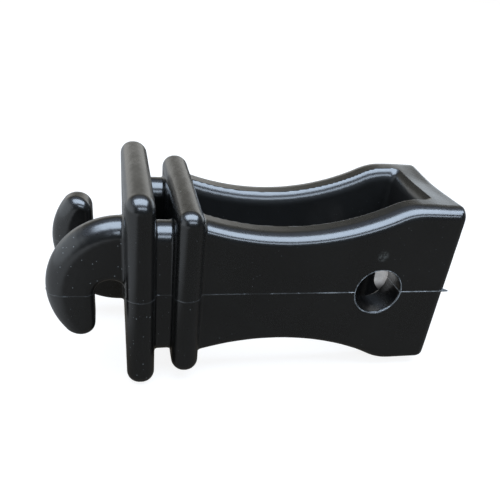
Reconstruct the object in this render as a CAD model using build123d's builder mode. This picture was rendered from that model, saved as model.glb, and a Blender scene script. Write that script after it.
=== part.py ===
from build123d import *
from math import asin, atan, degrees, radians, sin, sqrt
import os

# Fence insulator, one injection moulding of black polyethylene.
# Millimetres. X runs along the body, Y along the cross bore and Z up.
# The origin is the centre of the cross bore, and the mould parts at Z = 0.
# The moulding is cut at flat seams into its features, which meet face to face.

# Cross bore and the loop-shaped body
bore_diameter = 12.4
wall_thickness = 8.6
cavity_width = 19.0
end_face = 20.3
end_wall_thickness = 9.5
end_edge_round = 1.8
end_hollow = 0.7
cavity_corner = 2.0

# Side outline of the body: a long hollow waist, then a short shoulder up to the end block
shoulder_half_height = 23.8
waist_at = -26.6
waist_half_height = 15.85
waist_share = 0.81

# The two flanges and the necks between them
outer_flange_at = -60.6
flange_pitch = 10.9
flange_thickness = 6.7
outer_flange_overhang = 3.7
outer_flange_height = 49.8
inner_flange_overhang = 3.5
inner_flange_height = 43.2
flange_corner = 3.6
flange_round = 2.75
neck_half_height = 17.0

# The two claws, which hook opposite ways round a rod lying along Y
claw_radius = 17.5
claw_centre_out = 0.2
claw_centre_up = 0.45
throat_width = 7.05
seat_drop = 0.3
seat_lip = 1.8
claw_root_depth = 0.5

# Sizes that follow from the ones above
body_width = cavity_width + 2 * wall_thickness
outer_flange_width = body_width + 2 * outer_flange_overhang
inner_flange_width = body_width + 2 * inner_flange_overhang
rim_round = 0.43 * wall_thickness
inner_flange_at = outer_flange_at + flange_pitch
claw_face = outer_flange_at - flange_thickness / 2
neck_start = outer_flange_at + flange_thickness / 2
neck_end = inner_flange_at - flange_thickness / 2
body_start = inner_flange_at + flange_thickness / 2
cavity_end = end_face - end_wall_thickness
shoulder_at = cavity_end - 1.25 * cavity_corner

# The waist arc and the shoulder arc turn through the same angle and meet without a kink
s_run = shoulder_at - waist_at
s_rise = shoulder_half_height - waist_half_height
s_turn = 2 * degrees(atan(s_rise / s_run))
s_radius = s_run / sin(radians(s_turn))
waist_radius = waist_share * s_radius
shoulder_radius = s_radius - waist_radius
waist_centre = (waist_at, waist_half_height + waist_radius)
shoulder_centre = (shoulder_at, shoulder_half_height - shoulder_radius)
waist_lead = degrees(asin((waist_at - body_start) / waist_radius))

# The claw tip is an arc that touches the round back of the claw from inside
claw_centre = (claw_face - claw_centre_out, claw_centre_up)
tip_inner = claw_face - throat_width
tip_radius = 0.448 * wall_thickness
claw_round = 0.35 * wall_thickness
tip_run = claw_centre[0] - tip_inner + tip_radius
tip_fall = sqrt((claw_radius - tip_radius) ** 2 - tip_run**2)
tip_centre = (claw_centre[0] - tip_run, claw_centre[1] - tip_fall)
tip_meet = 180 + degrees(atan(tip_fall / tip_run))
claw_top = claw_centre[1] + claw_radius

# The seat in the claw's throat is an arc from the tip's inner side over to the flange's face
seat_radius = (throat_width**2 + seat_lip**2) / (2 * throat_width)
seat_centre = (tip_inner + seat_radius, -seat_drop)
seat_turn = 180 - degrees(asin(seat_lip / seat_radius))

front_inner_face = Plane.XZ.offset(cavity_width / 2)

os.makedirs("parts", exist_ok=True)


# Front side wall: the outline above in an even thickness, with fully rounded rims
with BuildPart() as front_side_wall:
    with BuildSketch(front_inner_face):
        with BuildLine():
            waist = CenterArc(waist_centre, waist_radius, 270 - waist_lead, waist_lead + s_turn)
            CenterArc(shoulder_centre, shoulder_radius, 90 + s_turn, -s_turn)
            Line((shoulder_at, shoulder_half_height), (shoulder_at, 0))
            Line(waist @ 0, (body_start, 0))
            mirror(about=Plane.XZ)
        make_face()
    extrude(amount=wall_thickness)
    rims = front_side_wall.edges().filter_by(lambda e: abs(e.center().Z) > waist_half_height / 2)
    fillet(rims.filter_by(Axis.Y, reverse=True), rim_round)
    with BuildSketch(front_inner_face):
        Circle(bore_diameter / 2)
    extrude(amount=wall_thickness, mode=Mode.SUBTRACT)
front_side_wall.part.label = "front_side_wall"
export_step(front_side_wall.part, "parts/front_side_wall.step")

# Rear side wall: the moulding is the same when turned half way round its length
with BuildPart() as rear_side_wall:
    add(front_side_wall.part, rotation=(180, 0, 0))
rear_side_wall.part.label = "rear_side_wall"
export_step(rear_side_wall.part, "parts/rear_side_wall.step")

# End wall: joins the two side walls, and takes in the outer and the inner corners
with BuildPart() as end_wall:
    with BuildSketch(Plane.XY.offset(-shoulder_half_height)):
        with BuildLine():
            half = body_width / 2
            Line((shoulder_at, half), (end_face, half))
            ThreePointArc((end_face, half), (end_face - end_hollow, 0), (end_face, -half))
            Line((end_face, -half), (shoulder_at, -half))
            Line((shoulder_at, -half), (shoulder_at, half))
        make_face()
    extrude(amount=2 * shoulder_half_height)
    with BuildSketch(Plane.XY.offset(-shoulder_half_height)):
        with BuildLine():
            half = cavity_width / 2
            Polyline((shoulder_at, half), (cavity_end, half), (cavity_end, -half), (shoulder_at, -half))
            Line((shoulder_at, -half), (shoulder_at, half))
        make_face()
    extrude(amount=2 * shoulder_half_height, mode=Mode.SUBTRACT)
    corners = end_wall.edges().filter_by(Axis.Z).filter_by(lambda e: abs(e.center().X - cavity_end) < 0.01)
    fillet(corners, cavity_corner)
    level = end_wall.edges().filter_by(lambda e: abs(abs(e.center().Z) - shoulder_half_height) < 0.01)
    level = level.filter_by(lambda e: e.center().X > shoulder_at + 0.01)
    fillet(level.filter_by(lambda e: e.center().X < end_face - end_hollow - 0.01), rim_round)
    fillet(end_wall.faces().sort_by(Axis.X)[-1].edges(), end_edge_round)
end_wall.part.label = "end_wall"
export_step(end_wall.part, "parts/end_wall.step")

# Inner flange: a solid plate that closes the cavity
with BuildPart() as inner_flange:
    with BuildSketch(Plane.YZ.offset(inner_flange_at - flange_thickness / 2)):
        RectangleRounded(inner_flange_width, inner_flange_height, flange_corner)
    extrude(amount=flange_thickness)
    fillet(inner_flange.faces().filter_by(Axis.X).edges(), flange_round)
inner_flange.part.label = "inner_flange"
export_step(inner_flange.part, "parts/inner_flange.step")

# Front neck: carries the side wall's section across the groove between the flanges
with BuildPart() as front_neck:
    with BuildSketch(Plane.YZ.offset(neck_start)):
        with Locations((-(cavity_width + wall_thickness) / 2, 0)):
            RectangleRounded(wall_thickness, 2 * neck_half_height, rim_round)
    extrude(amount=neck_end - neck_start)
front_neck.part.label = "front_neck"
export_step(front_neck.part, "parts/front_neck.step")

with BuildPart() as rear_neck:
    add(front_neck.part, rotation=(180, 0, 0))
rear_neck.part.label = "rear_neck"
export_step(rear_neck.part, "parts/rear_neck.step")

# Front claw: a round-backed hook that opens downwards beside the outer flange
with BuildPart() as front_claw:
    with BuildSketch(front_inner_face):
        with BuildLine():
            CenterArc(claw_centre, claw_radius, 90, tip_meet - 90)
            tip = CenterArc(tip_centre, tip_radius, tip_meet, 360 - tip_meet)
            Line(tip @ 1, (tip_inner, seat_centre[1]))
            seat = CenterArc(seat_centre, seat_radius, 180, -seat_turn)
            Polyline(seat @ 1, (claw_face, claw_top), (claw_centre[0], claw_top))
        make_face()
    extrude(amount=wall_thickness)
    sides = front_claw.edges().filter_by(Axis.Y, reverse=True)
    fillet(sides.filter_by(lambda e: e.center().X < claw_face - 0.01), claw_round)
    front_root = extrude(front_claw.faces().sort_by(Axis.X)[-1], amount=claw_root_depth)
front_claw.part.label = "front_claw"
export_step(front_claw.part, "parts/front_claw.step")

with BuildPart() as rear_claw:
    add(front_claw.part, rotation=(180, 0, 0))
rear_claw.part.label = "rear_claw"
export_step(rear_claw.part, "parts/rear_claw.step")

# Outer flange: the taller plate behind the claws, whose roots are set into its face
with BuildPart() as outer_flange:
    with BuildSketch(Plane.YZ.offset(outer_flange_at - flange_thickness / 2)):
        RectangleRounded(outer_flange_width, outer_flange_height, flange_corner)
    extrude(amount=flange_thickness)
    fillet(outer_flange.faces().filter_by(Axis.X).edges(), flange_round)
    add(front_root, mode=Mode.SUBTRACT)
    add(front_root, rotation=(180, 0, 0), mode=Mode.SUBTRACT)
outer_flange.part.label = "outer_flange"
export_step(outer_flange.part, "parts/outer_flange.step")
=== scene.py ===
import bmesh
import bpy
import numpy as np
from mathutils import Matrix, Vector


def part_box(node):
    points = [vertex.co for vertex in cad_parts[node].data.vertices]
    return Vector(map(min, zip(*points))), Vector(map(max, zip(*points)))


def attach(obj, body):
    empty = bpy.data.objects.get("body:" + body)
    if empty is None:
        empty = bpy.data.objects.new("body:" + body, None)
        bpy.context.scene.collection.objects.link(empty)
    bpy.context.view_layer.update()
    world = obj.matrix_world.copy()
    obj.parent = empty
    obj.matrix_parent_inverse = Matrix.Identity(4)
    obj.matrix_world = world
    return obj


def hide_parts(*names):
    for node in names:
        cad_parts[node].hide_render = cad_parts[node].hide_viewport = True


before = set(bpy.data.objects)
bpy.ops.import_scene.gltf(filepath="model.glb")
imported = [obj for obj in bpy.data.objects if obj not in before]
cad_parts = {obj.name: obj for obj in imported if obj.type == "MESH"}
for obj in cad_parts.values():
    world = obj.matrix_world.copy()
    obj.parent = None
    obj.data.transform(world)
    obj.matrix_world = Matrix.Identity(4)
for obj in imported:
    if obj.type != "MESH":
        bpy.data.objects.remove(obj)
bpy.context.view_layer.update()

# Fence insulator, one injection moulding of black polyethylene.
# Shapes are worked out in millimetres in the CAD frame: X along the body, Y along
# the cross bore, Z up, origin at the middle of the cross bore.
MM = 0.001


def node_box(node):
    """Lowest and highest corner of a CAD node, in millimetres."""
    low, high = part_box(node)
    return np.array(low) / MM, np.array(high) / MM


# ---------------------------------------------------------------- sizes from the CAD nodes
CLAW_LOW = node_box("front_claw")[0]
OUTER_LOW, OUTER_HIGH = node_box("outer_flange")
NECK_HIGH = node_box("front_neck")[1]
INNER_LOW, INNER_HIGH = node_box("inner_flange")
WALL_LOW, WALL_HIGH = node_box("front_side_wall")
END_HIGH = node_box("end_wall")[1]

BODY_HALF = -WALL_LOW[1]
CAVITY_HALF = -WALL_HIGH[1]
WALL_MID = (BODY_HALF + CAVITY_HALF) / 2
WALL_HALF = (BODY_HALF - CAVITY_HALF) / 2
BODY_START, SHOULDER_AT = WALL_LOW[0], WALL_HIGH[0]
END_FACE = END_HIGH[0]
SHOULDER_HALF_HEIGHT = END_HIGH[2]
OUTER_MID = (OUTER_LOW[0] + OUTER_HIGH[0]) / 2
INNER_MID = (INNER_LOW[0] + INNER_HIGH[0]) / 2
FLANGE_HALF = (OUTER_HIGH[0] - OUTER_LOW[0]) / 2
CLAW_FACE = OUTER_LOW[0]

# ---------------------------------------------------------------- sizes of the moulding's own shapes
CAVITY_END = 10.8
CAVITY_CORNER = 1.3
WAIST_AT = -26.6
WAIST_HALF_HEIGHT = 15.85
WAIST_SHARE = 0.81
BORE_RADIUS = 6.2
BORE_EDGE = 0.35
RIM_TOP, RIM_BOTTOM = 4.15, 3.3
END_INNER_ROUND = 4.4
END_TOP_EDGE, END_BOTTOM_EDGE = 1.3, 2.8
END_PLAN_CORNER = 2.7
END_FACE_HOLLOW = 0.7
END_TOP_HOLLOW = 0.3
END_REAR_RISE = 0.45
LOWER_SHALLOWER = 0.28
HALF_MISMATCH = 0.15
ROOT_FILLET = 0.8
OUTER_CORNER, OUTER_EDGE = 3.6, 3.1
INNER_CORNER, INNER_EDGE = 3.1, 3.2
CLAW_RADIUS = 17.5
CLAW_CENTRE = (CLAW_FACE - 0.2, 0.45)
THROAT_WIDTH = 7.05
SEAT_DROP, SEAT_LIP = 0.3, 1.8
TIP_RADIUS = 3.853
CLAW_RIM, THROAT_RIM, TIP_RIM = 4.26, 1.9, 3.6
REAR_SHANK_RIM, REAR_SHANK_DEEPER = 2.0, 0.5
REAR_CLAW_FURTHER = 0.6
FLASH_HEIGHT, FLASH_HALF = 0.17, 0.13
RIPPLE_HEIGHT = 0.02
HALF_BLEND = 8.0
WEB_BOTTOM, WEB_TOP, WEB_INNER = -4.3, 5.4, 2.45
BURR_LENGTH, BURR_ROOT, BURR_HALF_THICK = 1.7, 1.4, 0.24
SKIN_STEP, PARTING_STEP, PARTING_BAND = 0.46, 0.1, 0.5

# The waist arc and the shoulder arc touch on the line through their centres.
RUN, RISE = SHOULDER_AT - WAIST_AT, SHOULDER_HALF_HEIGHT - WAIST_HALF_HEIGHT
BOTH_RADII = RUN / np.sin(2 * np.arctan(RISE / RUN))
WAIST_RADIUS = WAIST_SHARE * BOTH_RADII
SHOULDER_RADIUS = BOTH_RADII - WAIST_RADIUS
WAIST_CENTRE = (WAIST_AT, WAIST_HALF_HEIGHT + WAIST_RADIUS)
SHOULDER_CENTRE = (SHOULDER_AT, SHOULDER_HALF_HEIGHT - SHOULDER_RADIUS)

TIP_INNER = CLAW_FACE - THROAT_WIDTH
SEAT_RADIUS = (THROAT_WIDTH**2 + SEAT_LIP**2) / (2 * THROAT_WIDTH)
SEAT_CENTRE = (TIP_INNER + SEAT_RADIUS, -SEAT_DROP)
TIP_RUN = CLAW_CENTRE[0] - TIP_INNER + TIP_RADIUS
TIP_FALL = np.sqrt((CLAW_RADIUS - TIP_RADIUS) ** 2 - TIP_RUN**2)
TIP_CENTRE = (CLAW_CENTRE[0] - TIP_RUN, CLAW_CENTRE[1] - TIP_FALL)
TIP_MEET = np.pi + np.arctan(TIP_FALL / TIP_RUN)


# ---------------------------------------------------------------- distance shapes, below zero inside
def rounded_and(a, b, r):
    """What is inside both, with the edge between them rounded to radius r."""
    return np.minimum(np.maximum(a, b) + r, 0) + np.hypot(np.maximum(a + r, 0), np.maximum(b + r, 0)) - r


def filleted_or(a, b, r):
    """What is inside either, with the corner between them filled to radius r."""
    return np.maximum(np.minimum(a, b), r) - np.hypot(np.maximum(r - a, 0), np.maximum(r - b, 0))


def ease(t):
    """From 0 to 1 with level ends."""
    t = np.clip(t, 0, 1)
    return t * t * (3 - 2 * t)


def side_outline(x, z):
    """Distance past the body's side outline: hollow waist, short shoulder, level end."""
    h = np.abs(z)
    waist = WAIST_RADIUS - np.hypot(x - WAIST_CENTRE[0], h - WAIST_CENTRE[1])
    shoulder = np.hypot(x - SHOULDER_CENTRE[0], h - SHOULDER_CENTRE[1]) - SHOULDER_RADIUS
    along = np.array(SHOULDER_CENTRE) - np.array(WAIST_CENTRE)
    past = (x - WAIST_CENTRE[0]) * -along[1] + (h - WAIST_CENTRE[1]) * along[0]
    level = h - SHOULDER_HALF_HEIGHT
    outline = np.where(x > SHOULDER_AT, level, np.where(past > 0, shoulder, waist))
    return outline + LOWER_SHALLOWER * ease(-z / 4) * (1 - ease((x + 2) / 12))


def by_half(z, lower, upper):
    """A size that differs between the lower and the upper mould half, eased across the parting."""
    return lower + (upper - lower) * ease(z / HALF_BLEND + 0.5)


def rim_radius(z):
    """The upper mould half rounds the rims more than the lower one."""
    return by_half(z, RIM_BOTTOM, RIM_TOP)


def body_shape(x, y, z):
    """The two side walls and the end wall as one U round the cavity."""
    across = 1 - np.clip(y / BODY_HALF, -1, 1) ** 2
    end_at = END_FACE - END_FACE_HOLLOW * across - HALF_MISMATCH * ease(-z / 0.3)
    top = side_outline(x, z) + END_TOP_HOLLOW * across * ease((x - CAVITY_END) / 6)
    top = top - END_REAR_RISE * ease(x / 14) * ease(y / 14) * ease(z / 8)
    rim = rim_radius(z)
    sides = rounded_and(np.abs(y) - BODY_HALF, top, rim)
    end = rounded_and(x - end_at, top, by_half(z, END_BOTTOM_EDGE, END_TOP_EDGE))
    outside = rounded_and(sides, end, END_PLAN_CORNER)
    wall_inside = rounded_and(CAVITY_HALF - np.abs(y), top, rim)
    end_inside = rounded_and(CAVITY_END - x, top, END_INNER_ROUND)
    inside = filleted_or(wall_inside, end_inside, CAVITY_CORNER)
    return np.maximum(outside, inside)


def neck_shape(x, y, z):
    """Both necks, as if they ran the whole length."""
    return rounded_and(np.abs(np.abs(y) - WALL_MID) - WALL_HALF, np.abs(z) - NECK_HIGH[2], rim_radius(z))


def claw_shape(x, y, z):
    """Both claws: the rear one is the front one turned half way round X."""
    rear = y > 0
    z = np.where(rear, -z, z)
    x = x + np.where(rear, REAR_CLAW_FURTHER * ease((CLAW_FACE - 1 - x) / 3), 0)
    across = np.abs(np.abs(y) - WALL_MID) - WALL_HALF
    back = np.where(
        x < CLAW_CENTRE[0],
        np.hypot(x - CLAW_CENTRE[0], z - CLAW_CENTRE[1]),
        np.abs(z - CLAW_CENTRE[1]),
    ) - CLAW_RADIUS
    back = back - np.where(rear, REAR_SHANK_DEEPER * ease((x - TIP_INNER + 6) / 6), 0)
    throat = np.where(
        z < SEAT_CENTRE[1],
        np.abs(x - SEAT_CENTRE[0]),
        np.hypot(x - SEAT_CENTRE[0], z - SEAT_CENTRE[1]),
    ) - SEAT_RADIUS
    side = np.maximum(back, -throat)
    dx, dz = x - TIP_CENTRE[0], z - TIP_CENTRE[1]
    turn = np.arctan2(dz, dx) % (2 * np.pi)
    in_tip = turn > TIP_MEET
    side = np.where(in_tip, np.hypot(dx, dz) - TIP_RADIUS, side)
    near_tip = ease(1 - np.hypot(dx, dz + TIP_RADIUS * 0.3) / 9)
    along_shank = ease((x - TIP_INNER + 8) / 6) * ease(z / 8)
    shank = np.where(rear, CLAW_RIM + (REAR_SHANK_RIM - CLAW_RIM) * along_shank, CLAW_RIM)
    rim = np.where(back > -throat, shank + (TIP_RIM - shank) * near_tip, THROAT_RIM)
    round_tip = (turn - TIP_MEET) / (2 * np.pi - TIP_MEET)
    rim = np.where(in_tip, TIP_RIM + (THROAT_RIM - TIP_RIM) * ease(round_tip), rim)
    return rounded_and(across, side, rim)


def flange_shape(x, y, z, middle, high, corner, edge):
    """A flange about its middle: a plate with round corners and well rounded edges."""
    plate = rounded_and(np.abs(y) - high[1], np.abs(z) - high[2], corner)
    return rounded_and(plate, np.abs(x - middle) - FLANGE_HALF, edge)


def ripple(x, y, z):
    """Slow unevenness of a cooled thick moulding, about -1 to 1."""
    return (
        np.sin(0.83 * x + 0.31 * z + 0.4)
        * np.sin(0.67 * y - 0.52 * z + 1.7)
        + 0.6 * np.sin(1.71 * x - 0.9 * y + 0.7 * z + 2.1) * np.sin(1.3 * z + 0.8 * x + 0.3)
        + 0.4 * np.sin(2.9 * x + 1.1 * z) * np.sin(2.3 * z - 1.9 * y + 1.0)
    ) / 2


def flash_along(x, y):
    """How strongly the parting flash stands at a place, 0 to 1."""
    strength = 0.55 + 0.3 * np.sin(0.9 * x + 0.6 * y + 1) + 0.25 * np.sin(2.7 * x - 1.9 * y)
    near_bore = np.exp(-(((x - 4) / 12) ** 2))
    return np.clip(strength * 0.6 + 0.5 * near_bore, 0.12, 1)


def moulding(x, y, z):
    """The whole moulding in millimetres."""
    claws = np.maximum(claw_shape(x, y, z), x - OUTER_MID)
    groove = np.abs(x - (OUTER_MID + INNER_MID) / 2) - (INNER_MID - OUTER_MID) / 2
    necks = np.maximum(neck_shape(x, y, z), groove)
    body = np.maximum(body_shape(x, y, z), INNER_MID - x)
    bars = np.minimum(np.minimum(claws, necks), body)
    outer = flange_shape(x, y, z, OUTER_MID, OUTER_HIGH, OUTER_CORNER, OUTER_EDGE)
    inner = flange_shape(x, y, z, INNER_MID, INNER_HIGH, INNER_CORNER, INNER_EDGE)
    whole = filleted_or(filleted_or(bars, outer, ROOT_FILLET), inner, ROOT_FILLET)
    whole = rounded_and(whole, BORE_RADIUS - np.hypot(x, z), BORE_EDGE)
    flash = FLASH_HEIGHT * np.exp(-((z / FLASH_HALF) ** 2)) * flash_along(x, y)
    return whole - flash - RIPPLE_HEIGHT * ripple(x, y, z)


# ---------------------------------------------------------------- skin of a distance shape
def grid_lines(low, high, step, close=()):
    """Places from low to high a step apart, closer together round each (place, half, small step)."""
    lines = np.arange(low, high + step, step)
    for place, half, small in close:
        lines = lines[np.abs(lines - place) > half + small / 2]
        lines = np.append(lines, np.arange(place - half, place + half + small / 2, small))
    return np.sort(lines)


def slope(shape, points, reach=0.02):
    """How the shape's distance changes at each point, along X, Y and Z."""
    out = np.empty_like(points)
    for axis in range(3):
        step = np.zeros(3)
        step[axis] = reach
        out[:, axis] = (shape(*(points + step).T) - shape(*(points - step).T)) / (2 * reach)
    return out


def skin(shape, lines):
    """Points and four-sided faces of the surface where the shape is zero."""
    values = np.empty([len(a) for a in lines])
    for i in range(0, len(lines[0]), 12):
        along = lines[0][i:i + 12, None, None]
        values[i:i + 12] = shape(along, lines[1][None, :, None], lines[2][None, None, :])
    filled = values < 0
    corners = sum(
        filled[i:len(lines[0]) - 1 + i, j:len(lines[1]) - 1 + j, k:len(lines[2]) - 1 + k].astype(np.int8)
        for i in (0, 1) for j in (0, 1) for k in (0, 1)
    )
    cells = np.argwhere((corners > 0) & (corners < 8))
    index = np.full(corners.shape, -1, np.int32)
    index[tuple(cells.T)] = np.arange(len(cells))
    total, hits = np.zeros((len(cells), 3)), np.zeros(len(cells))
    for axis in range(3):
        others = [a for a in range(3) if a != axis]
        for i in (0, 1):
            for j in (0, 1):
                start = cells.copy()
                start[:, others[0]] += i
                start[:, others[1]] += j
                stop = start.copy()
                stop[:, axis] += 1
                va, vb = values[tuple(start.T)], values[tuple(stop.T)]
                cross = (va < 0) != (vb < 0)
                share = va[cross] / (va[cross] - vb[cross])
                place = np.stack([lines[a][start[cross, a]] for a in range(3)], 1)
                place[:, axis] += share * (lines[axis][stop[cross, axis]] - place[:, axis])
                total[cross] += place
                hits[cross] += 1
    points = total / hits[:, None]
    faces = []
    for axis in range(3):
        u, v = (axis + 1) % 3, (axis + 2) % 3
        low = np.take(filled, range(filled.shape[axis] - 1), axis)
        high = np.take(filled, range(1, filled.shape[axis]), axis)
        edges = np.argwhere(low != high)
        corner = []
        for du, dv in ((-1, -1), (0, -1), (0, 0), (-1, 0)):
            cell = edges.copy()
            cell[:, u] += du
            cell[:, v] += dv
            corner.append(index[tuple(cell.T)])
        quads = np.stack(corner, 1)
        turned = ~low[tuple(edges.T)]
        quads[turned] = quads[turned][:, ::-1]
        faces.append(quads)
    faces = np.concatenate(faces)
    for _ in range(5):
        grade = slope(shape, points)
        move = shape(*points.T) / np.maximum((grade**2).sum(1), 0.2)
        points -= grade * np.clip(move, -0.3, 0.3)[:, None]
    return points, faces


# ---------------------------------------------------------------- pieces
def mesh_object(name, points, faces):
    mesh = bpy.data.meshes.new(name)
    mesh.from_pydata([tuple(p) for p in points], [], [tuple(f) for f in faces])
    mesh.update()
    obj = bpy.data.objects.new(name, mesh)
    bpy.context.scene.collection.objects.link(obj)
    return obj


def cut_piece(name, points, faces, x_from, x_to, side):
    """The skin from x_from to x_to on one side of the middle, closed with flat faces at the seams."""
    px, py = points[:, 0][faces], points[:, 1][faces]
    keep = np.ones(len(faces), bool)
    if x_from is not None:
        keep &= px.max(1) > x_from
    if x_to is not None:
        keep &= px.min(1) < x_to
    if side:
        keep &= (py * side).max(1) > 0
    used = np.unique(faces[keep])
    renumber = np.full(len(points), -1)
    renumber[used] = np.arange(len(used))
    obj = mesh_object(name, points[used], renumber[faces[keep]])
    made = bmesh.new()
    made.from_mesh(obj.data)
    for place, way in ((x_from, -1), (x_to, 1)):
        if place is None:
            continue
        bmesh.ops.bisect_plane(
            made, geom=made.verts[:] + made.edges[:] + made.faces[:], dist=1e-5,
            plane_co=(place, 0, 0), plane_no=(way, 0, 0), clear_outer=True,
        )
        rim = [e for e in made.edges if e.is_boundary and all(abs(v.co.x - place) < 1e-3 for v in e.verts)]
        bmesh.ops.holes_fill(made, edges=rim, sides=0)
    bmesh.ops.recalc_face_normals(made, faces=made.faces[:])
    made.to_mesh(obj.data)
    made.free()
    return obj


def smooth_by_shape(obj, shape):
    """Shades the skin from the shape's own slope, leaves the seam faces flat and scales to metres."""
    mesh = obj.data
    co = np.empty(len(mesh.vertices) * 3)
    mesh.vertices.foreach_get("co", co)
    grade = slope(shape, co.reshape(-1, 3))
    grade /= np.maximum(np.linalg.norm(grade, axis=1), 1e-9)[:, None]
    mesh.shade_smooth()
    vert_of = np.empty(len(mesh.loops), np.int32)
    mesh.loops.foreach_get("vertex_index", vert_of)
    normals = grade[vert_of]
    for poly in mesh.polygons:
        if poly.loop_total > 4:
            normals[poly.loop_start:poly.loop_start + poly.loop_total] = poly.normal
    mesh.normals_split_custom_set(normals.tolist())
    mesh.transform(Matrix.Scale(MM, 4))


LINES = (
    grid_lines(CLAW_LOW[0] - 1, END_FACE + 1.2, SKIN_STEP),
    grid_lines(OUTER_LOW[1] - 1, OUTER_HIGH[1] + 1, SKIN_STEP),
    grid_lines(OUTER_LOW[2] - 1, OUTER_HIGH[2] + 1, SKIN_STEP, [(0, PARTING_BAND, PARTING_STEP)]),
)
POINTS, FACES = skin(moulding, LINES)

# Each seam stands a root fillet away from a flange, so that the fillet stays whole.
SEAM = ROOT_FILLET + 0.3
CLAW_SEAM, NECK_SEAM_1 = OUTER_LOW[0] - SEAM, OUTER_HIGH[0] + SEAM
NECK_SEAM_2, WALL_SEAM = INNER_LOW[0] - SEAM, INNER_HIGH[0] + SEAM
PARTS = {
    "front_claw": (None, CLAW_SEAM, -1),
    "rear_claw": (None, CLAW_SEAM, 1),
    "outer_flange": (CLAW_SEAM, NECK_SEAM_1, 0),
    "front_neck": (NECK_SEAM_1, NECK_SEAM_2, -1),
    "rear_neck": (NECK_SEAM_1, NECK_SEAM_2, 1),
    "inner_flange": (NECK_SEAM_2, WALL_SEAM, 0),
    "front_side_wall": (WALL_SEAM, SHOULDER_AT, -1),
    "rear_side_wall": (WALL_SEAM, SHOULDER_AT, 1),
    "end_wall": (SHOULDER_AT, None, 0),
}


# ---------------------------------------------------------------- flash left by the mould
def tube_of_sections(sections, closed):
    """One shell through four-cornered sections."""
    count = len(sections)
    points = np.concatenate(sections)
    faces = []
    for i in range(count if closed else count - 1):
        a, b = 4 * i, 4 * ((i + 1) % count)
        faces += [(a + k, a + (k + 1) % 4, b + (k + 1) % 4, b + k) for k in range(4)]
    if not closed:
        faces += [(3, 2, 1, 0), tuple(len(points) - 4 + k for k in range(4))]
    return points, faces


def bore_lip():
    """Thin ragged fin round the bore's front mouth, tall below and on the right, missing above, where its
    pale tone also paints the highlight of the rounded mouth.
    """
    sections = []
    for turn in np.linspace(0, 2 * np.pi, 180, endpoint=False):
        grade = np.degrees(turn)
        tall = 0.34 * np.exp(-(((grade - 218) / 30) ** 2)) + 0.26 * np.exp(-(((grade - 282) / 42) ** 2))
        tall += 0.3 * (np.exp(-((grade / 34) ** 2)) + np.exp(-(((grade - 360) / 22) ** 2)))
        tall *= 0.8 + 0.2 * np.sin(9 * turn + 1) * np.sin(4 * turn)
        face = WALL_LOW[1] - tall - 0.02
        wide = 0.07 + 0.22 * tall
        ring = [
            (BORE_RADIUS + 0.05, WALL_LOW[1] + 0.5),
            (BORE_RADIUS + 0.18, face),
            (BORE_RADIUS + 0.18 + wide, face),
            (BORE_RADIUS + 0.5, WALL_LOW[1] + 0.3),
        ]
        sections.append(np.array([(r * np.cos(turn), y, r * np.sin(turn)) for r, y in ring]))
    return tube_of_sections(sections, True)


def bore_web():
    """Paper-thin web of flash left across one side of the bore's inner mouth."""
    low, high = WALL_HIGH[1] - 0.35, WALL_HIGH[1] - 0.2
    sections = []
    for z in np.linspace(WEB_BOTTOM, WEB_TOP, 30):
        outer = np.sqrt((BORE_RADIUS + 0.15) ** 2 - z**2)
        curl = 0.02 * (z - 1.5) ** 2
        taper = 1.55 * max(0, (-1.2 - z) / 3.1) ** 1.6
        inner = min(WEB_INNER + curl + taper, outer - 0.05)
        sections.append(np.array([(inner, low, z), (outer, low, z), (outer, high, z), (inner, high, z)]))
    return tube_of_sections(sections, False)


def end_burr():
    """Small fin of flash that sticks out of the end at the front corner."""
    x, y = END_FACE, WALL_LOW[1]
    sections = []
    for t in np.linspace(0, 1, 7):
        thick = BURR_HALF_THICK * (1 - 0.6 * t)
        reach, wide = -BURR_ROOT + BURR_LENGTH * t, 1.5 * (1 - t) + 0.15
        sections.append(np.array([
            (x + reach, y + 0.1 - 0.15 * t, -thick), (x + reach, y + 0.1 + wide, -thick),
            (x + reach, y + 0.1 + wide, thick + 0.1 * t), (x + reach, y + 0.1 - 0.15 * t, thick + 0.1 * t),
        ]))
    return tube_of_sections(sections, False)


# ---------------------------------------------------------------- colours
BLACK_DEEP, BLACK_WORN = (0.0042, 0.0040, 0.0035, 1), (0.0066, 0.0062, 0.0055, 1)
# The parting line's grey is partly whitened flash and partly a painted highlight of its ridge.
GATE_GREY, PARTING_PALE_AND_HIGHLIGHT, SPECK_GREY = (0.13, 0.13, 0.12, 1), (0.62, 0.63, 0.63, 1), (0.32, 0.33, 0.33, 1)
# The pale flash tone is partly thin whitened flash and partly painted highlight on the bore's mouth.
FLASH_DARK, FLASH_PALE_AND_HIGHLIGHT = (0.10, 0.10, 0.10, 1), (0.36, 0.37, 0.37, 1)
# The web's glow strength is a painted glow: emission in place of light through the web.
WEB_DARK, WEB_PALE, WEB_PAINTED_GLOW = (0.08, 0.08, 0.08, 1), (0.9, 0.9, 0.9, 1), 0.4
WHITE = (1, 1, 1, 1)
FLOOR_PAST_CLAWS, FLOOR_DARK = (0.33, 0.35, 0.37, 1), (0.062, 0.056, 0.046, 1)
FLOOR_OWN_WHITE, FLOOR_SHADOWED = 0.88, 0.24
FLOOR_BOUNCE, FLOOR_UNDER_GLOSS = (0.36, 0.35, 0.33, 1), (0.03, 0.03, 0.03, 1)
ROOM_DARK, ROOM_CEILING = (0.045, 0.05, 0.055, 1), (0.22, 0.25, 0.32, 1)
ROOM_BACK, ROOM_BACK_LOW = (0.15, 0.143, 0.12, 1), (0.6, 0.6, 0.58, 1)
ROOM_RIGHT_LOW, ROOM_LEFT = (0.9, 1.0, 1.1, 1), (0.62, 0.68, 0.74, 1)

# The plastic's gloss and the fine relief of its skin.
PLASTIC_IOR, COAT_IOR, COAT_ROUGHNESS = 1.51, 1.78, 0.2
RELIEF_STRENGTH, RELIEF_DEPTH = 0.5, 0.0001
CAVITY_DULLER, CAVITY_COAT_LOSS = 0.3, 0.75
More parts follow.
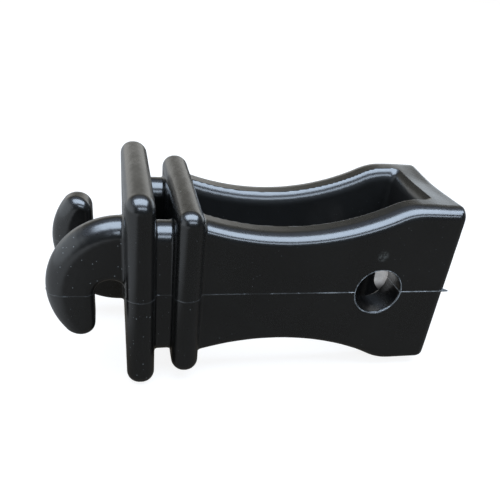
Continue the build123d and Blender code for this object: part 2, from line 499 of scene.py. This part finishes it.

# Marks on the front wall, in metres: the stretch where the parting line is painted palest, partly as whitened
# flash and partly as painted highlight, and the gate mark.
PARTING_HIGHLIGHT_AT, PARTING_HIGHLIGHT_REACH = (0.001, -0.0181, 0.0), 0.027
GATE_AT, GATE_REACH = (-0.0011, -0.0181, 0.0104), 0.0017


# ---------------------------------------------------------------- node helpers
def node(tree, kind, **values):
    made = tree.nodes.new(kind)
    for key, value in values.items():
        setattr(made, key, value)
    return made


def link(tree, a, b):
    tree.links.new(a, b)


def group(name, inputs, outputs):
    """An empty node group with its ends."""
    tree = bpy.data.node_groups.new(name, "ShaderNodeTree")
    for label, kind, value in inputs:
        socket = tree.interface.new_socket(label, in_out="INPUT", socket_type=kind)
        if value is not None:
            socket.default_value = value
    for label, kind in outputs:
        tree.interface.new_socket(label, in_out="OUTPUT", socket_type=kind)
    return tree, tree.nodes.new("NodeGroupInput"), tree.nodes.new("NodeGroupOutput")


def math_node(tree, what, a, b=None, c=None, clamp=False):
    made = node(tree, "ShaderNodeMath", operation=what, use_clamp=clamp)
    for socket, value in zip(made.inputs, (a, b, c)):
        if value is None:
            continue
        if isinstance(value, (int, float)):
            socket.default_value = value
        else:
            link(tree, value, socket)
    return made.outputs[0]


def noise(tree, where, scale, detail=3.0, rough=0.55, distort=0.0):
    made = node(tree, "ShaderNodeTexNoise")
    link(tree, where, made.inputs["Vector"])
    made.inputs["Scale"].default_value = scale
    made.inputs["Detail"].default_value = detail
    made.inputs["Roughness"].default_value = rough
    made.inputs["Distortion"].default_value = distort
    return made.outputs["Fac"]


def ramp(tree, value, low, high, to_low=0.0, to_high=1.0):
    made = node(tree, "ShaderNodeMapRange", interpolation_type="SMOOTHSTEP")
    link(tree, value, made.inputs["Value"])
    for label, number in (("From Min", low), ("From Max", high), ("To Min", to_low), ("To Max", to_high)):
        made.inputs[label].default_value = number
    return made.outputs["Result"]


def moulded_skin_group():
    """Height and gloss of the moulded skin: orange peel, drag lines and a fine tooth."""
    tree, ends_in, ends_out = group(
        "moulded_skin", [("Place", "NodeSocketVector", None)],
        [("Height", "NodeSocketFloat"), ("Gloss Loss", "NodeSocketFloat")],
    )
    where = ends_in.outputs["Place"]
    peel = noise(tree, where, 420, 3, 0.5)
    tooth = noise(tree, where, 2600, 2, 0.6)
    patches = noise(tree, where, 70, 4, 0.6, 0.4)
    long_way = node(tree, "ShaderNodeVectorMath", operation="MULTIPLY")
    link(tree, where, long_way.inputs[0])
    long_way.inputs[1].default_value = (0.22, 1, 1)
    drag = noise(tree, long_way.outputs[0], 1500, 3, 0.6)
    height = math_node(tree, "MULTIPLY_ADD", peel, 0.5, math_node(tree, "MULTIPLY", tooth, 0.15))
    height = math_node(tree, "MULTIPLY_ADD", drag, 0.5, height)
    link(tree, height, ends_out.inputs["Height"])
    loss = math_node(tree, "MULTIPLY_ADD", patches, 0.6, math_node(tree, "MULTIPLY", tooth, 0.4))
    link(tree, loss, ends_out.inputs["Gloss Loss"])
    return tree


def specks_group():
    """Dust and tiny pale nicks: few, unevenly spread, more of them on the flanges and claws."""
    tree, ends_in, ends_out = group(
        "specks",
        [
            ("Place", "NodeSocketVector", None),
            ("Scale", "NodeSocketFloat", 900.0),
            ("Size", "NodeSocketFloat", 0.12),
        ],
        [("Mask", "NodeSocketFloat")],
    )
    cells = node(tree, "ShaderNodeTexVoronoi", feature="F1")
    link(tree, ends_in.outputs["Place"], cells.inputs["Vector"])
    link(tree, ends_in.outputs["Scale"], cells.inputs["Scale"])
    dot = math_node(tree, "LESS_THAN", cells.outputs["Distance"], ends_in.outputs["Size"])
    chosen = node(tree, "ShaderNodeSeparateColor")
    link(tree, cells.outputs["Color"], chosen.inputs[0])
    few = math_node(tree, "GREATER_THAN", chosen.outputs[0], 0.86)
    spread = ramp(tree, noise(tree, ends_in.outputs["Place"], 60, 2), 0.42, 0.62)
    split = node(tree, "ShaderNodeSeparateXYZ")
    link(tree, ends_in.outputs["Place"], split.inputs[0])
    spread = math_node(tree, "MULTIPLY", spread, ramp(tree, split.outputs["X"], -0.03, -0.048, 0.22, 0.8))
    mask = math_node(tree, "MULTIPLY", math_node(tree, "MULTIPLY", dot, few), spread)
    link(tree, mask, ends_out.inputs["Mask"])
    return tree


def parting_group():
    """Mask of the line where the mould halves meet, at Z = 0, painted pale partly for whitened flash and
    partly as the highlight its ridge catches.
    """
    tree, ends_in, ends_out = group(
        "parting_line", [("Place", "NodeSocketVector", None), ("Half Width", "NodeSocketFloat", 0.00022)],
        [("Mask", "NodeSocketFloat")],
    )
    split = node(tree, "ShaderNodeSeparateXYZ")
    link(tree, ends_in.outputs["Place"], split.inputs[0])
    away = math_node(tree, "ABSOLUTE", split.outputs["Z"])
    share = math_node(tree, "DIVIDE", away, ends_in.outputs["Half Width"])
    line = math_node(tree, "SUBTRACT", 1.0, share, clamp=True)
    broken = ramp(tree, noise(tree, ends_in.outputs["Place"], 190, 3, 0.6), 0.38, 0.62, 0.25, 1.0)
    link(tree, math_node(tree, "MULTIPLY", line, broken), ends_out.inputs["Mask"])
    return tree


def spot_group():
    """Soft round mask about a place."""
    tree, ends_in, ends_out = group(
        "spot",
        [
            ("Place", "NodeSocketVector", None),
            ("Middle", "NodeSocketVector", None),
            ("Radius", "NodeSocketFloat", 0.001),
        ],
        [("Mask", "NodeSocketFloat")],
    )
    gap = node(tree, "ShaderNodeVectorMath", operation="DISTANCE")
    link(tree, ends_in.outputs["Place"], gap.inputs[0])
    link(tree, ends_in.outputs["Middle"], gap.inputs[1])
    share = math_node(tree, "DIVIDE", gap.outputs["Value"], ends_in.outputs["Radius"])
    near = math_node(tree, "SUBTRACT", 1.0, share, clamp=True)
    link(tree, near, ends_out.inputs["Mask"])
    return tree


def cavity_group():
    """Mask of the cavity's inner faces, below the rounded rims, which the core leaves duller."""
    tree, ends_in, ends_out = group(
        "cavity_faces", [("Place", "NodeSocketVector", None)], [("Mask", "NodeSocketFloat")],
    )
    split = node(tree, "ShaderNodeSeparateXYZ")
    link(tree, ends_in.outputs["Place"], split.inputs[0])
    away = math_node(tree, "ABSOLUTE", split.outputs["Y"])
    across = ramp(tree, away, (CAVITY_HALF + 0.4) * MM, (CAVITY_HALF + 0.1) * MM)
    before_end = ramp(tree, split.outputs["X"], (CAVITY_END + 0.4) * MM, (CAVITY_END + 0.1) * MM)
    after_flange = ramp(tree, split.outputs["X"], (BODY_START - 0.5) * MM, BODY_START * MM)
    mask = math_node(tree, "MULTIPLY", math_node(tree, "MULTIPLY", across, before_end), after_flange)
    link(tree, mask, ends_out.inputs["Mask"])
    return tree


SKIN, SPECKS, PARTING, SPOT = moulded_skin_group(), specks_group(), parting_group(), spot_group()
CAVITY = cavity_group()


def use(tree, made_group, where, **values):
    """Places a node group in a material, with its own values."""
    made = node(tree, "ShaderNodeGroup", node_tree=made_group)
    link(tree, where, made.inputs["Place"])
    for label, value in values.items():
        made.inputs[label.replace("_", " ")].default_value = value
    return made


def blend_colour(tree, share, first, second):
    """First where the share is 0, second where it is 1."""
    made = node(tree, "ShaderNodeMix", data_type="RGBA")
    link(tree, share, made.inputs[0])
    for socket, value in ((made.inputs[6], first), (made.inputs[7], second)):
        if isinstance(value, tuple):
            socket.default_value = value
        else:
            link(tree, value, socket)
    return made.outputs[2]


def black_polyethylene():
    """Carbon black polyethylene with a glossy moulded skin."""
    made = bpy.data.materials.new("black_polyethylene")
    made.use_nodes = True
    tree = made.node_tree
    shader = tree.nodes["Principled BSDF"]
    where = node(tree, "ShaderNodeTexCoord").outputs["Object"]
    skin_node = use(tree, SKIN, where)
    specks = use(tree, SPECKS, where, Scale=1300.0, Size=0.15)
    line = use(tree, PARTING, where)
    parting_highlight = use(tree, SPOT, where, Middle=PARTING_HIGHLIGHT_AT, Radius=PARTING_HIGHLIGHT_REACH)
    gate = use(tree, SPOT, where, Middle=GATE_AT, Radius=GATE_REACH)
    cloud = ramp(tree, noise(tree, where, 45, 3, 0.6), 0.35, 0.7)
    colour = blend_colour(tree, cloud, BLACK_DEEP, BLACK_WORN)
    torn = ramp(tree, noise(tree, where, 1400, 2), 0.4, 0.56, 0.15, 1.1)
    mark = math_node(tree, "MULTIPLY", gate.outputs["Mask"], torn)
    colour = blend_colour(tree, mark, colour, GATE_GREY)
    # Painted highlight: the parting line is made paler still about the bore, partly for whitened flash and
    # partly for the light its ridge catches.
    pale = math_node(tree, "MULTIPLY_ADD", parting_highlight.outputs["Mask"], 1.3, 0.16, clamp=True)
    colour = blend_colour(tree, math_node(tree, "MULTIPLY", line.outputs["Mask"], pale), colour, PARTING_PALE_AND_HIGHLIGHT)
    colour = blend_colour(tree, specks.outputs["Mask"], colour, SPECK_GREY)
    link(tree, colour, shader.inputs["Base Color"])
    rough = math_node(tree, "MULTIPLY_ADD", skin_node.outputs["Gloss Loss"], 0.34, 0.13)
    rough = math_node(tree, "MULTIPLY_ADD", specks.outputs["Mask"], 0.3, rough)
    inner = use(tree, CAVITY, where).outputs["Mask"]
    link(tree, math_node(tree, "MULTIPLY_ADD", inner, CAVITY_DULLER, rough), shader.inputs["Roughness"])
    link(tree, math_node(tree, "MULTIPLY_ADD", inner, -CAVITY_COAT_LOSS, 1.0), shader.inputs["Coat Weight"])
    shader.inputs["IOR"].default_value = PLASTIC_IOR
    shader.inputs["Coat Roughness"].default_value = COAT_ROUGHNESS
    shader.inputs["Coat IOR"].default_value = COAT_IOR
    bump = node(tree, "ShaderNodeBump")
    bump.inputs["Strength"].default_value = RELIEF_STRENGTH
    bump.inputs["Distance"].default_value = RELIEF_DEPTH
    link(tree, skin_node.outputs["Height"], bump.inputs["Height"])
    link(tree, bump.outputs[0], shader.inputs["Normal"])
    return made


def pale_flash_and_highlight():
    """Flash drawn so thin that it has gone pale and mottled; the pale tone is partly a painted highlight of
    the edges it sits on.
    """
    made = bpy.data.materials.new("pale_flash_and_highlight")
    made.use_nodes = True
    tree = made.node_tree
    shader = tree.nodes["Principled BSDF"]
    where = node(tree, "ShaderNodeTexCoord").outputs["Object"]
    mottle = ramp(tree, noise(tree, where, 900, 3, 0.6), 0.35, 0.65)
    colour = blend_colour(tree, mottle, FLASH_DARK, FLASH_PALE_AND_HIGHLIGHT)
    link(tree, colour, shader.inputs["Base Color"])
    link(tree, math_node(tree, "MULTIPLY_ADD", mottle, 0.2, 0.3), shader.inputs["Roughness"])
    return made


def thin_web():
    """The web in the bore: nearly white, darker below, with a painted glow, emission standing in for light
    from the cavity.
    """
    made = bpy.data.materials.new("thin_web")
    made.use_nodes = True
    tree = made.node_tree
    shader = tree.nodes["Principled BSDF"]
    where = node(tree, "ShaderNodeTexCoord").outputs["Object"]
    split = node(tree, "ShaderNodeSeparateXYZ")
    link(tree, where, split.inputs[0])
    fade = ramp(tree, split.outputs["Z"], -0.0042, -0.0008)
    stain = ramp(tree, noise(tree, where, 380, 3, 0.6), 0.3, 0.7, 0.8, 1.0)
    share = math_node(tree, "MULTIPLY", fade, stain)
    colour = blend_colour(tree, share, WEB_DARK, WEB_PALE)
    link(tree, colour, shader.inputs["Base Color"])
    link(tree, math_node(tree, "MULTIPLY_ADD", stain, 0.2, 0.35), shader.inputs["Roughness"])
    # Painted glow: the web emits its own colour in place of light coming through from the cavity.
    link(tree, colour, shader.inputs["Emission Color"])
    shader.inputs["Emission Strength"].default_value = WEB_PAINTED_GLOW
    through = node(tree, "ShaderNodeBsdfTranslucent")
    link(tree, colour, through.inputs["Color"])
    both = node(tree, "ShaderNodeMixShader")
    both.inputs[0].default_value = 0.5
    link(tree, shader.outputs[0], both.inputs[1])
    link(tree, through.outputs[0], both.inputs[2])
    link(tree, both.outputs[0], tree.nodes["Material Output"].inputs["Surface"])
    return made


PLASTIC = black_polyethylene()
for name, (x_from, x_to, side) in PARTS.items():
    piece = cut_piece(name + "_moulding", POINTS, FACES, x_from, x_to, side)
    smooth_by_shape(piece, moulding)
    piece.data.materials.append(PLASTIC)
    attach(piece, "root")
    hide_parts(name)

FLASH = pale_flash_and_highlight()
for name, (points, faces), finish in (
    ("bore_lip_flash", bore_lip(), FLASH),
    ("bore_web_flash", bore_web(), thin_web()),
    ("end_burr_flash", end_burr(), FLASH),
):
    piece = mesh_object(name, np.array(points) * MM, faces)
    piece.data.shade_smooth()
    piece.data.materials.append(finish)
    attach(piece, "root")


# ---------------------------------------------------------------- floor, room and lamps
def floor():
    """White to the eye, with the object's shadow, and dark to the plastic, less so past the claws."""
    half, depth = 3.0, OUTER_LOW[2] * MM
    corners = [(-half, -half, depth), (half, -half, depth), (half, half, depth), (-half, half, depth)]
    obj = mesh_object("floor", corners, [(0, 1, 2, 3)])
    made = bpy.data.materials.new("pale_floor")
    made.use_nodes = True
    tree = made.node_tree
    shader = tree.nodes["Principled BSDF"]
    shader.inputs["Base Color"].default_value = FLOOR_BOUNCE
    shader.inputs["Roughness"].default_value = 0.8
    seen = node(tree, "ShaderNodeEmission")
    path = node(tree, "ShaderNodeLightPath")
    where = node(tree, "ShaderNodeTexCoord").outputs["Object"]
    near = use(tree, SPOT, where, Middle=(-0.03, 0, depth), Radius=0.5)
    bright = ramp(tree, near.outputs["Mask"], 0.05, 0.5, 1.0, FLOOR_OWN_WHITE)
    split = node(tree, "ShaderNodeSeparateXYZ")
    link(tree, where, split.inputs[0])
    beside = ramp(tree, split.outputs["X"], -0.072, -0.115)
    past_flange = ramp(tree, split.outputs["X"], -0.066, -0.078)
    behind = math_node(tree, "MULTIPLY", past_flange, ramp(tree, split.outputs["Y"], 0.0, 0.05))
    lighter = math_node(tree, "MAXIMUM", beside, behind)
    for_plastic = blend_colour(tree, lighter, FLOOR_DARK, FLOOR_PAST_CLAWS)
    link(tree, blend_colour(tree, path.outputs["Is Camera Ray"], for_plastic, WHITE), seen.inputs["Color"])
    link(tree, bright, seen.inputs["Strength"])
    lit = node(tree, "ShaderNodeBsdfDiffuse")
    shade = (FLOOR_SHADOWED,) * 3 + (1,)
    own = blend_colour(tree, path.outputs["Is Camera Ray"], FLOOR_UNDER_GLOSS, shade)
    link(tree, own, lit.inputs["Color"])
    shadowed = node(tree, "ShaderNodeAddShader")
    link(tree, lit.outputs[0], shadowed.inputs[0])
    link(tree, seen.outputs[0], shadowed.inputs[1])
    through = math_node(tree, "MAXIMUM", path.outputs["Is Glossy Ray"], path.outputs["Is Transmission Ray"])
    direct = math_node(tree, "MAXIMUM", path.outputs["Is Camera Ray"], through)
    both = node(tree, "ShaderNodeMixShader")
    link(tree, direct, both.inputs[0])
    link(tree, shader.outputs[0], both.inputs[1])
    link(tree, shadowed.outputs[0], both.inputs[2])
    link(tree, both.outputs[0], tree.nodes["Material Output"].inputs["Surface"])
    obj.data.materials.append(made)


def room():
    """White to the eye, and to the plastic a dim room, lighter overhead, on the left and low down behind."""
    world = bpy.data.worlds.new("room")
    bpy.context.scene.world = world
    world.use_nodes = True
    tree = world.node_tree
    back = tree.nodes["Background"]
    split = node(tree, "ShaderNodeSeparateXYZ")
    link(tree, node(tree, "ShaderNodeTexCoord").outputs["Generated"], split.inputs[0])
    low = ramp(tree, split.outputs["Z"], 0.72, 0.5)
    behind = math_node(tree, "MULTIPLY", low, ramp(tree, split.outputs["Y"], 0.1, 0.55))
    left = math_node(tree, "MULTIPLY", low, ramp(tree, split.outputs["X"], -0.45, -0.85))
    lowest = math_node(tree, "MULTIPLY", behind, ramp(tree, split.outputs["Z"], 0.42, 0.2))
    right_behind = math_node(tree, "MULTIPLY", lowest, ramp(tree, split.outputs["X"], 0.36, 0.6))
    ceiling = blend_colour(tree, ramp(tree, split.outputs["Z"], 0.6, 0.75), ROOM_DARK, ROOM_CEILING)
    walls = blend_colour(tree, behind, ceiling, ROOM_BACK)
    walls = blend_colour(tree, lowest, walls, ROOM_BACK_LOW)
    walls = blend_colour(tree, right_behind, walls, ROOM_RIGHT_LOW)
    walls = blend_colour(tree, left, walls, ROOM_LEFT)
    colour = blend_colour(tree, node(tree, "ShaderNodeLightPath").outputs["Is Camera Ray"], walls, WHITE)
    link(tree, colour, back.inputs["Color"])


def lamp(name, place, aim, size, power, colour):
    made = bpy.data.lights.new(name, "AREA")
    made.shape = "RECTANGLE"
    made.size, made.size_y = size
    made.energy = power
    made.color = colour
    obj = bpy.data.objects.new(name, made)
    bpy.context.scene.collection.objects.link(obj)
    obj.location = place
    obj.rotation_euler = (Vector(aim) - Vector(place)).to_track_quat("-Z", "Y").to_euler()


CAMERA_PLACE = (-0.0656, -0.1337, 0.0704)
CAMERA_RIGHT = (0.96665, -0.22620, 0.12004)
CAMERA_UP = (0.02698, 0.55611, 0.83067)
CAMERA_AHEAD = (0.25466, 0.79973, -0.54366)
CAMERA_LENS, CAMERA_SHIFT = 40.67, (-0.0353, 0.1423)


def camera():
    """The view from the front left, a little above."""
    made = bpy.data.cameras.new("camera")
    made.sensor_width = 36.0
    made.lens = CAMERA_LENS
    made.shift_x, made.shift_y = CAMERA_SHIFT
    made.clip_start = 0.01
    obj = bpy.data.objects.new("camera", made)
    bpy.context.scene.collection.objects.link(obj)
    rows = [
        [right, up, -ahead, place]
        for right, up, ahead, place in zip(CAMERA_RIGHT, CAMERA_UP, CAMERA_AHEAD, CAMERA_PLACE)
    ]
    obj.matrix_world = Matrix(rows + [[0, 0, 0, 1]])
    bpy.context.scene.camera = obj


floor()
room()
lamp(
    "overhead_panel", place=(0.05, -0.14, 0.80), aim=(0.05, -0.14, 0),
    size=(1.16, 0.66), power=12.4, colour=(0.68, 0.82, 1.0),
)
lamp(
    "front_strip", place=(0.27, -0.82, 0.57), aim=(0.27, -0.02, 0),
    size=(0.95, 0.22), power=2.6, colour=(0.7, 0.83, 1.0),
)
camera()
bpy.context.scene.view_settings.view_transform = "Standard"
